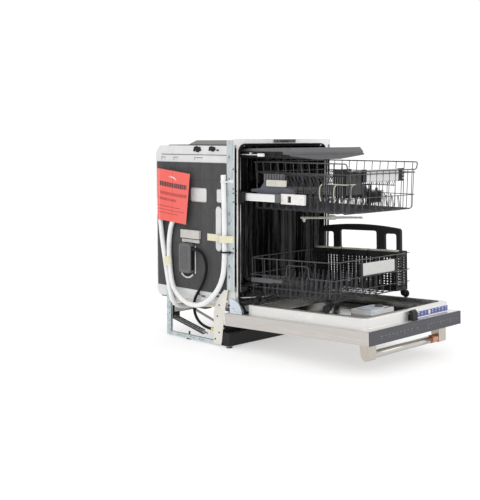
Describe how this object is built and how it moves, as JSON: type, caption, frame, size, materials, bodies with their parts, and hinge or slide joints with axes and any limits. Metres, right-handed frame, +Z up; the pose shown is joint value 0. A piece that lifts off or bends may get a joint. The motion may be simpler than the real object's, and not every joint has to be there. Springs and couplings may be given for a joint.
{
  "type": "built in dishwasher",
  "caption": "Built-in dishwasher with a drop-down door, three pull-out racks, spray arms, towel-bar handle, open base and a strapped drain hose.",
  "frame": {"origin": "middle of the footprint on the floor, with the door and racks open and the hoses left out", "axes": "+X to the right seen from the front, +Y to the back, +Z up; the door opens towards -Y"},
  "size_m": [0.6324, 1.1952, 0.863],
  "materials": {
    "stainless": "satin brushed stainless steel",
    "liner_steel": "bright satin stainless steel",
    "galvanised": "galvanised sheet steel with a soft spangle",
    "bitumen": "matt dark grey sound-deadening sheet",
    "felt": "grey-brown fibre pad",
    "black_plastic": "moulded black plastic",
    "black_steel": "black painted steel",
    "rubber": "black rubber",
    "control_slate": "dark slate satin panel",
    "cream_steel": "cream painted steel",
    "wire_coat": "dark grey nylon-coated wire",
    "wire_plastic": "dark grey nylon-coated wire and moulded carriers",
    "grey_plastic": "moulded dark grey plastic",
    "pale_plastic": "moulded pale grey plastic",
    "hose_white": "white corrugated hose",
    "aluminium": "satin aluminium",
    "bracket_metal": "warm brushed metal",
    "copper": "brushed copper",
    "tag_paper": "red card",
    "motor_steel": "black painted motor housing"
  },
  "bodies": {
    "cabinet": {"tub_shell": "stainless", "front_frame": "galvanised", "door_gasket": "rubber", "latch_strike": "grey_plastic", "side_pad_left": "bitumen", "side_pad_right": "bitumen", "top_pad": "felt", "base_frame_left": "galvanised", "base_frame_right": "galvanised", "hinge_post_left": "cream_steel", "hinge_post_right": "cream_steel", "rear_crossbar": "black_steel", "toe_kick": "black_steel", "door_spring_left": "black_steel", "door_spring_right": "black_steel", "sump_housing": "grey_plastic", "wash_pump": "motor_steel", "drain_pump": "grey_plastic", "heater_element": "stainless", "water_conduit": "grey_plastic", "third_rail_left": "galvanised", "third_rail_right": "galvanised", "upper_rail_left": "black_plastic", "upper_rail_right": "black_plastic", "drain_hose": "hose_white", "shipping_tag": "tag_paper", "power_plug": "black_plastic", "power_cord": "rubber"},
    "foot_fl": {"foot_front_left": "black_plastic"},
    "foot_fr": {"foot_front_right": "black_plastic"},
    "foot_rl": {"foot_rear_left": "black_plastic"},
    "foot_rr": {"foot_rear_right": "black_plastic"},
    "filter": {"filter_cup": "grey_plastic"},
    "lower_arm": {"lower_spray_arm": "grey_plastic"},
    "door": {"door_outer_panel": "stainless", "door_inner_liner": "liner_steel", "control_panel": "control_slate", "handle_bracket_left": "bracket_metal", "handle_bracket_right": "bracket_metal", "handle_bar": "stainless", "handle_ferrule": "copper", "hinge_arm_left": "galvanised", "hinge_arm_right": "galvanised", "dispenser_housing": "grey_plastic"},
    "lid": {"dispenser_lid": "pale_plastic"},
    "cap": {"rinse_cap": "black_plastic"},
    "latch": {"door_latch": "black_plastic"},
    "third_rack": {"third_rack_tray": "grey_plastic"},
    "upper_rack": {"upper_rack_basket": "wire_plastic", "upper_rack_handle": "pale_plastic"},
    "middle_arm": {"middle_spray_arm": "pale_plastic"},
    "rail_members": {"rail_member_left": "aluminium", "rail_member_right": "aluminium"},
    "lower_rack": {"lower_rack_basket": "wire_coat", "lower_rack_handle": "pale_plastic", "silverware_basket": "black_plastic"},
    "wheel_fl": {"wheel_front_left": "black_plastic"},
    "wheel_fr": {"wheel_front_right": "black_plastic"},
    "wheel_rl": {"wheel_rear_left": "black_plastic"},
    "wheel_rr": {"wheel_rear_right": "black_plastic"}
  },
  "joints": [
    {"name": "door_hinge", "type": "hinge", "parent": "cabinet", "child": "door", "pos_m": [0, 0.10962, 0.168], "axis": [1, 0, 0], "range_deg": [0, 2.2]},
    {"name": "third_rack_slide", "type": "slide", "parent": "cabinet", "child": "third_rack", "axis": [0, 1, 0], "range_m": [0, 0.253]},
    {"name": "upper_rack_slide", "type": "slide", "parent": "cabinet", "child": "upper_rack", "axis": [0, 1, 0], "range_m": [0, 0.513]},
    {"name": "rail_member_slide", "type": "slide", "parent": "cabinet", "child": "rail_members", "axis": [0, 1, 0], "range_m": [0, 0.2565]},
    {"name": "lower_rack_slide", "type": "slide", "parent": "cabinet", "child": "lower_rack", "axis": [0, 0.9993, -0.0384], "range_m": [0, 0.51]},
    {"name": "lower_arm_spin", "type": "hinge", "parent": "cabinet", "child": "lower_arm", "pos_m": [0, 0.34962, 0.195], "axis": [0, 0, 1], "continuous": true},
    {"name": "middle_arm_spin", "type": "hinge", "parent": "upper_rack", "child": "middle_arm", "pos_m": [0, -0.16738, 0.545], "axis": [0, 0, 1], "continuous": true},
    {"name": "filter_twist", "type": "hinge", "parent": "cabinet", "child": "filter", "pos_m": [0, 0.27262, 0.13], "axis": [0, 0, 1], "range_deg": [0, 90]},
    {"name": "dispenser_lid_slide", "type": "slide", "parent": "door", "child": "lid", "axis": [0, 0.9993, -0.0384], "range_m": [0, 0.05]},
    {"name": "rinse_cap_turn", "type": "hinge", "parent": "door", "child": "cap", "pos_m": [0.1185, -0.32513, 0.1827], "axis": [0, 0.0384, 0.9993], "range_deg": [0, 90]},
    {"name": "door_latch_turn", "type": "hinge", "parent": "door", "child": "latch", "pos_m": [0, -0.58557, 0.17639], "axis": [1, 0, 0], "range_deg": [0, 10]},
    {"name": "foot_fl_turn", "type": "hinge", "parent": "cabinet", "child": "foot_fl", "pos_m": [-0.2875, 0.13662, 0.01], "axis": [0, 0, 1], "range_deg": [-180, 180]},
    {"name": "foot_fr_turn", "type": "hinge", "parent": "cabinet", "child": "foot_fr", "pos_m": [0.2875, 0.13662, 0.01], "axis": [0, 0, 1], "range_deg": [-180, 180]},
    {"name": "foot_rl_turn", "type": "hinge", "parent": "cabinet", "child": "foot_rl", "pos_m": [-0.2875, 0.38362, 0.01], "axis": [0, 0, 1], "range_deg": [-180, 180]},
    {"name": "foot_rr_turn", "type": "hinge", "parent": "cabinet", "child": "foot_rr", "pos_m": [0.2875, 0.38362, 0.01], "axis": [0, 0, 1], "range_deg": [-180, 180]},
    {"name": "wheel_fl_roll", "type": "hinge", "parent": "lower_rack", "child": "wheel_fl", "pos_m": [-0.2585, -0.3586, 0.22332], "axis": [1, 0, 0], "range_deg": [-1830, 0]},
    {"name": "wheel_fr_roll", "type": "hinge", "parent": "lower_rack", "child": "wheel_fr", "pos_m": [0.2585, -0.3586, 0.22332], "axis": [1, 0, 0], "range_deg": [-1830, 0]},
    {"name": "wheel_rl_roll", "type": "hinge", "parent": "lower_rack", "child": "wheel_rl", "pos_m": [-0.2585, 0.01113, 0.20911], "axis": [1, 0, 0], "range_deg": [-1830, 0]},
    {"name": "wheel_rr_roll", "type": "hinge", "parent": "lower_rack", "child": "wheel_rr", "pos_m": [0.2585, 0.01113, 0.20911], "axis": [1, 0, 0], "range_deg": [-1830, 0]}
  ],
  "couplings": [
    {"joint": "rail_member_slide", "follows": "upper_rack_slide", "ratio": 0.5},
    {"joint": "wheel_fl_roll", "follows": "lower_rack_slide", "rad_per_m": -62.5},
    {"joint": "wheel_fr_roll", "follows": "lower_rack_slide", "rad_per_m": -62.5},
    {"joint": "wheel_rl_roll", "follows": "lower_rack_slide", "rad_per_m": -62.5},
    {"joint": "wheel_rr_roll", "follows": "lower_rack_slide", "rad_per_m": -62.5}
  ]
}
